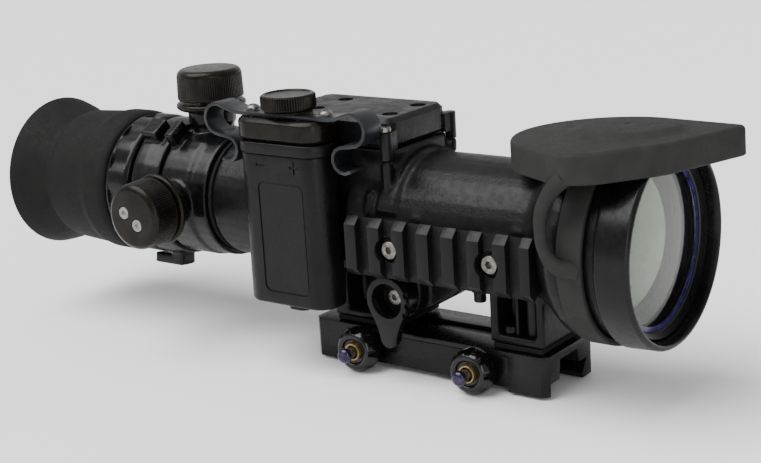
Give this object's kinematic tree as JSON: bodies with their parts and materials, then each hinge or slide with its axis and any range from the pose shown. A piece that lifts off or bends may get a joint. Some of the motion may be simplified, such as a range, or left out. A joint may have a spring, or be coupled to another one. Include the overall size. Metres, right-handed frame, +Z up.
{
  "type": "night vision weapon sight",
  "caption": "Tube-shaped night vision sight with a rubber eyecup, two adjustment turrets, a side battery box, an accessory rail, a rail clamp and a folded-back objective cap.",
  "frame": {"origin": "midway along the rail clamp, under the optical axis, in the plane of the clamp's feet", "axes": "+X along the optical axis out of the objective, +Z up out of the elevation turret, -Y out of the windage turret and the battery box"},
  "size_m": [0.2973, 0.0821, 0.1022],
  "materials": {
    "rubber_black": "matte moulded rubber",
    "cast_black": "black textured paint on cast metal",
    "anodised_bronze": "dark satin anodised",
    "inner_black": "flat black inside paint",
    "carrier_alloy": "flat black anodised aluminium",
    "spring_steel": "blued spring steel",
    "bright_steel": "bright steel",
    "black_screw": "blackened screw",
    "bolt_steel": "heat-tinted steel",
    "lens_glass": "coated glass",
    "circuit": "green solder mask",
    "cell_jacket": "plain jacket"
  },
  "bodies": {
    "housing": {"battery_box": "cast_black", "battery_cell_front": "cell_jacket", "battery_cell_rear": "cell_jacket", "cap_strap": "rubber_black", "circuit_board": "circuit", "clamp_base": "cast_black", "clamp_bolt_front": "bolt_steel", "clamp_bolt_rear": "bolt_steel", "corner_screw": "bright_steel", "cover_screw_1": "black_screw", "cover_screw_2": "black_screw", "cover_screw_3": "black_screw", "cover_screw_4": "black_screw", "elevation_flange": "anodised_bronze", "eyepiece_housing": "cast_black", "housing_seal": "rubber_black", "intensifier_tube": "inner_black", "main_housing": "cast_black", "pedestal_pad_front": "rubber_black", "pedestal_pad_rear": "rubber_black", "rail_screw_front": "bright_steel", "rail_screw_rear": "bright_steel", "side_rail": "cast_black", "strap_ring": "rubber_black", "top_cover": "cast_black", "turret_housing": "cast_black", "windage_flange": "anodised_bronze"},
    "dioptre": {"dioptre_ring": "cast_black", "eyecup": "rubber_black"},
    "ocular": {"ocular_cell": "inner_black", "eye_lens": "lens_glass", "field_lens": "lens_glass"},
    "elevation": {"elevation_knob": "anodised_bronze", "elevation_spindle": "bright_steel"},
    "windage": {"windage_knob": "anodised_bronze", "windage_spindle": "bright_steel", "windage_face_screw_1": "bright_steel", "windage_face_screw_2": "bright_steel"},
    "reticle_frame": {"reticle_carrier": "carrier_alloy"},
    "reticle": {"reticle_cell": "lens_glass"},
    "lid": {"battery_lid": "anodised_bronze", "spring_strap": "spring_steel", "strap_screw_rear": "bright_steel", "strap_screw_front": "bright_steel", "thumbscrew_washer": "rubber_black", "contact_spring_rear": "bright_steel", "contact_spring_front": "bright_steel"},
    "thumbscrew": {"thumbscrew": "anodised_bronze"},
    "lever": {"power_lever": "cast_black", "lever_screw": "bright_steel"},
    "focus": {"focus_ring": "cast_black"},
    "objective": {"lens_cell": "inner_black", "objective_lens_front": "lens_glass", "objective_lens_rear": "lens_glass"},
    "cap": {"objective_cap": "rubber_black"},
    "jaw": {"clamp_jaw": "cast_black", "spring_washer_rear": "bright_steel", "spring_washer_front": "bright_steel"},
    "nut_rear": {"thumb_nut_rear": "anodised_bronze"},
    "nut_front": {"thumb_nut_front": "anodised_bronze"}
  },
  "joints": [
    {"name": "dioptre_turn", "type": "hinge", "parent": "housing", "child": "dioptre", "pos_m": [-0.14, 0, 0.0535], "axis": [1, 0, 0], "range_deg": [-150, 150]},
    {"name": "ocular_shift", "type": "slide", "parent": "housing", "child": "ocular", "axis": [1, 0, 0], "range_m": [-0.0016, 0.0016]},
    {"name": "elevation_turn", "type": "hinge", "parent": "housing", "child": "elevation", "pos_m": [-0.106, 0, 0.0535], "axis": [0, 0, 1], "range_deg": [-360, 360]},
    {"name": "windage_turn", "type": "hinge", "parent": "housing", "child": "windage", "pos_m": [-0.106, 0, 0.0535], "axis": [0, -1, 0], "range_deg": [-360, 360]},
    {"name": "reticle_lift", "type": "slide", "parent": "housing", "child": "reticle_frame", "axis": [0, 0, 1], "range_m": [-0.00061, 0.00061]},
    {"name": "reticle_drift", "type": "slide", "parent": "reticle_frame", "child": "reticle", "axis": [0, 1, 0], "range_m": [-0.00061, 0.00061]},
    {"name": "lid_lift", "type": "slide", "parent": "housing", "child": "lid", "axis": [0, 0, 1], "range_m": [0, 0.02]},
    {"name": "thumbscrew_turn", "type": "hinge", "parent": "lid", "child": "thumbscrew", "pos_m": [-0.045, -0.0265, 0.0985], "axis": [0, 0, 1], "range_deg": [-720, 720]},
    {"name": "power_lever_swing", "type": "hinge", "parent": "housing", "child": "lever", "pos_m": [-0.0077, -0.0264, 0.0292], "axis": [0, -1, 0], "range_deg": [-35, 35]},
    {"name": "focus_turn", "type": "hinge", "parent": "housing", "child": "focus", "pos_m": [0.083, 0, 0.0535], "axis": [1, 0, 0], "range_deg": [-90, 90]},
    {"name": "objective_shift", "type": "slide", "parent": "housing", "child": "objective", "axis": [1, 0, 0], "range_m": [-0.00102, 0.00102]},
    {"name": "cap_fold", "type": "hinge", "parent": "housing", "child": "cap", "pos_m": [0.069, -0.0375, 0.0835], "axis": [1, 0, 0], "range_deg": [0, 120], "deforming": ["cap_strap"]},
    {"name": "jaw_slide", "type": "slide", "parent": "housing", "child": "jaw", "axis": [0, -1, 0], "range_m": [0, 0.002]},
    {"name": "rear_nut_turn", "type": "hinge", "parent": "jaw", "child": "nut_rear", "pos_m": [-0.0258, -0.021, 0.0071], "axis": [0, -1, 0], "range_deg": [0, 720]},
    {"name": "front_nut_turn", "type": "hinge", "parent": "jaw", "child": "nut_front", "pos_m": [0.0226, -0.021, 0.0071], "axis": [0, -1, 0], "range_deg": [0, 720]}
  ],
  "couplings": [
    {"joint": "ocular_shift", "follows": "dioptre_turn", "m_per_rad": 0.000573},
    {"joint": "reticle_lift", "follows": "elevation_turn", "m_per_rad": 0.00009549},
    {"joint": "reticle_drift", "follows": "windage_turn", "m_per_rad": 0.00009549},
    {"joint": "objective_shift", "follows": "focus_turn", "m_per_rad": 0.0006366},
    {"joint": "rear_nut_turn", "follows": "jaw_slide", "rad_per_m": 6283},
    {"joint": "front_nut_turn", "follows": "jaw_slide", "rad_per_m": 6283}
  ]
}
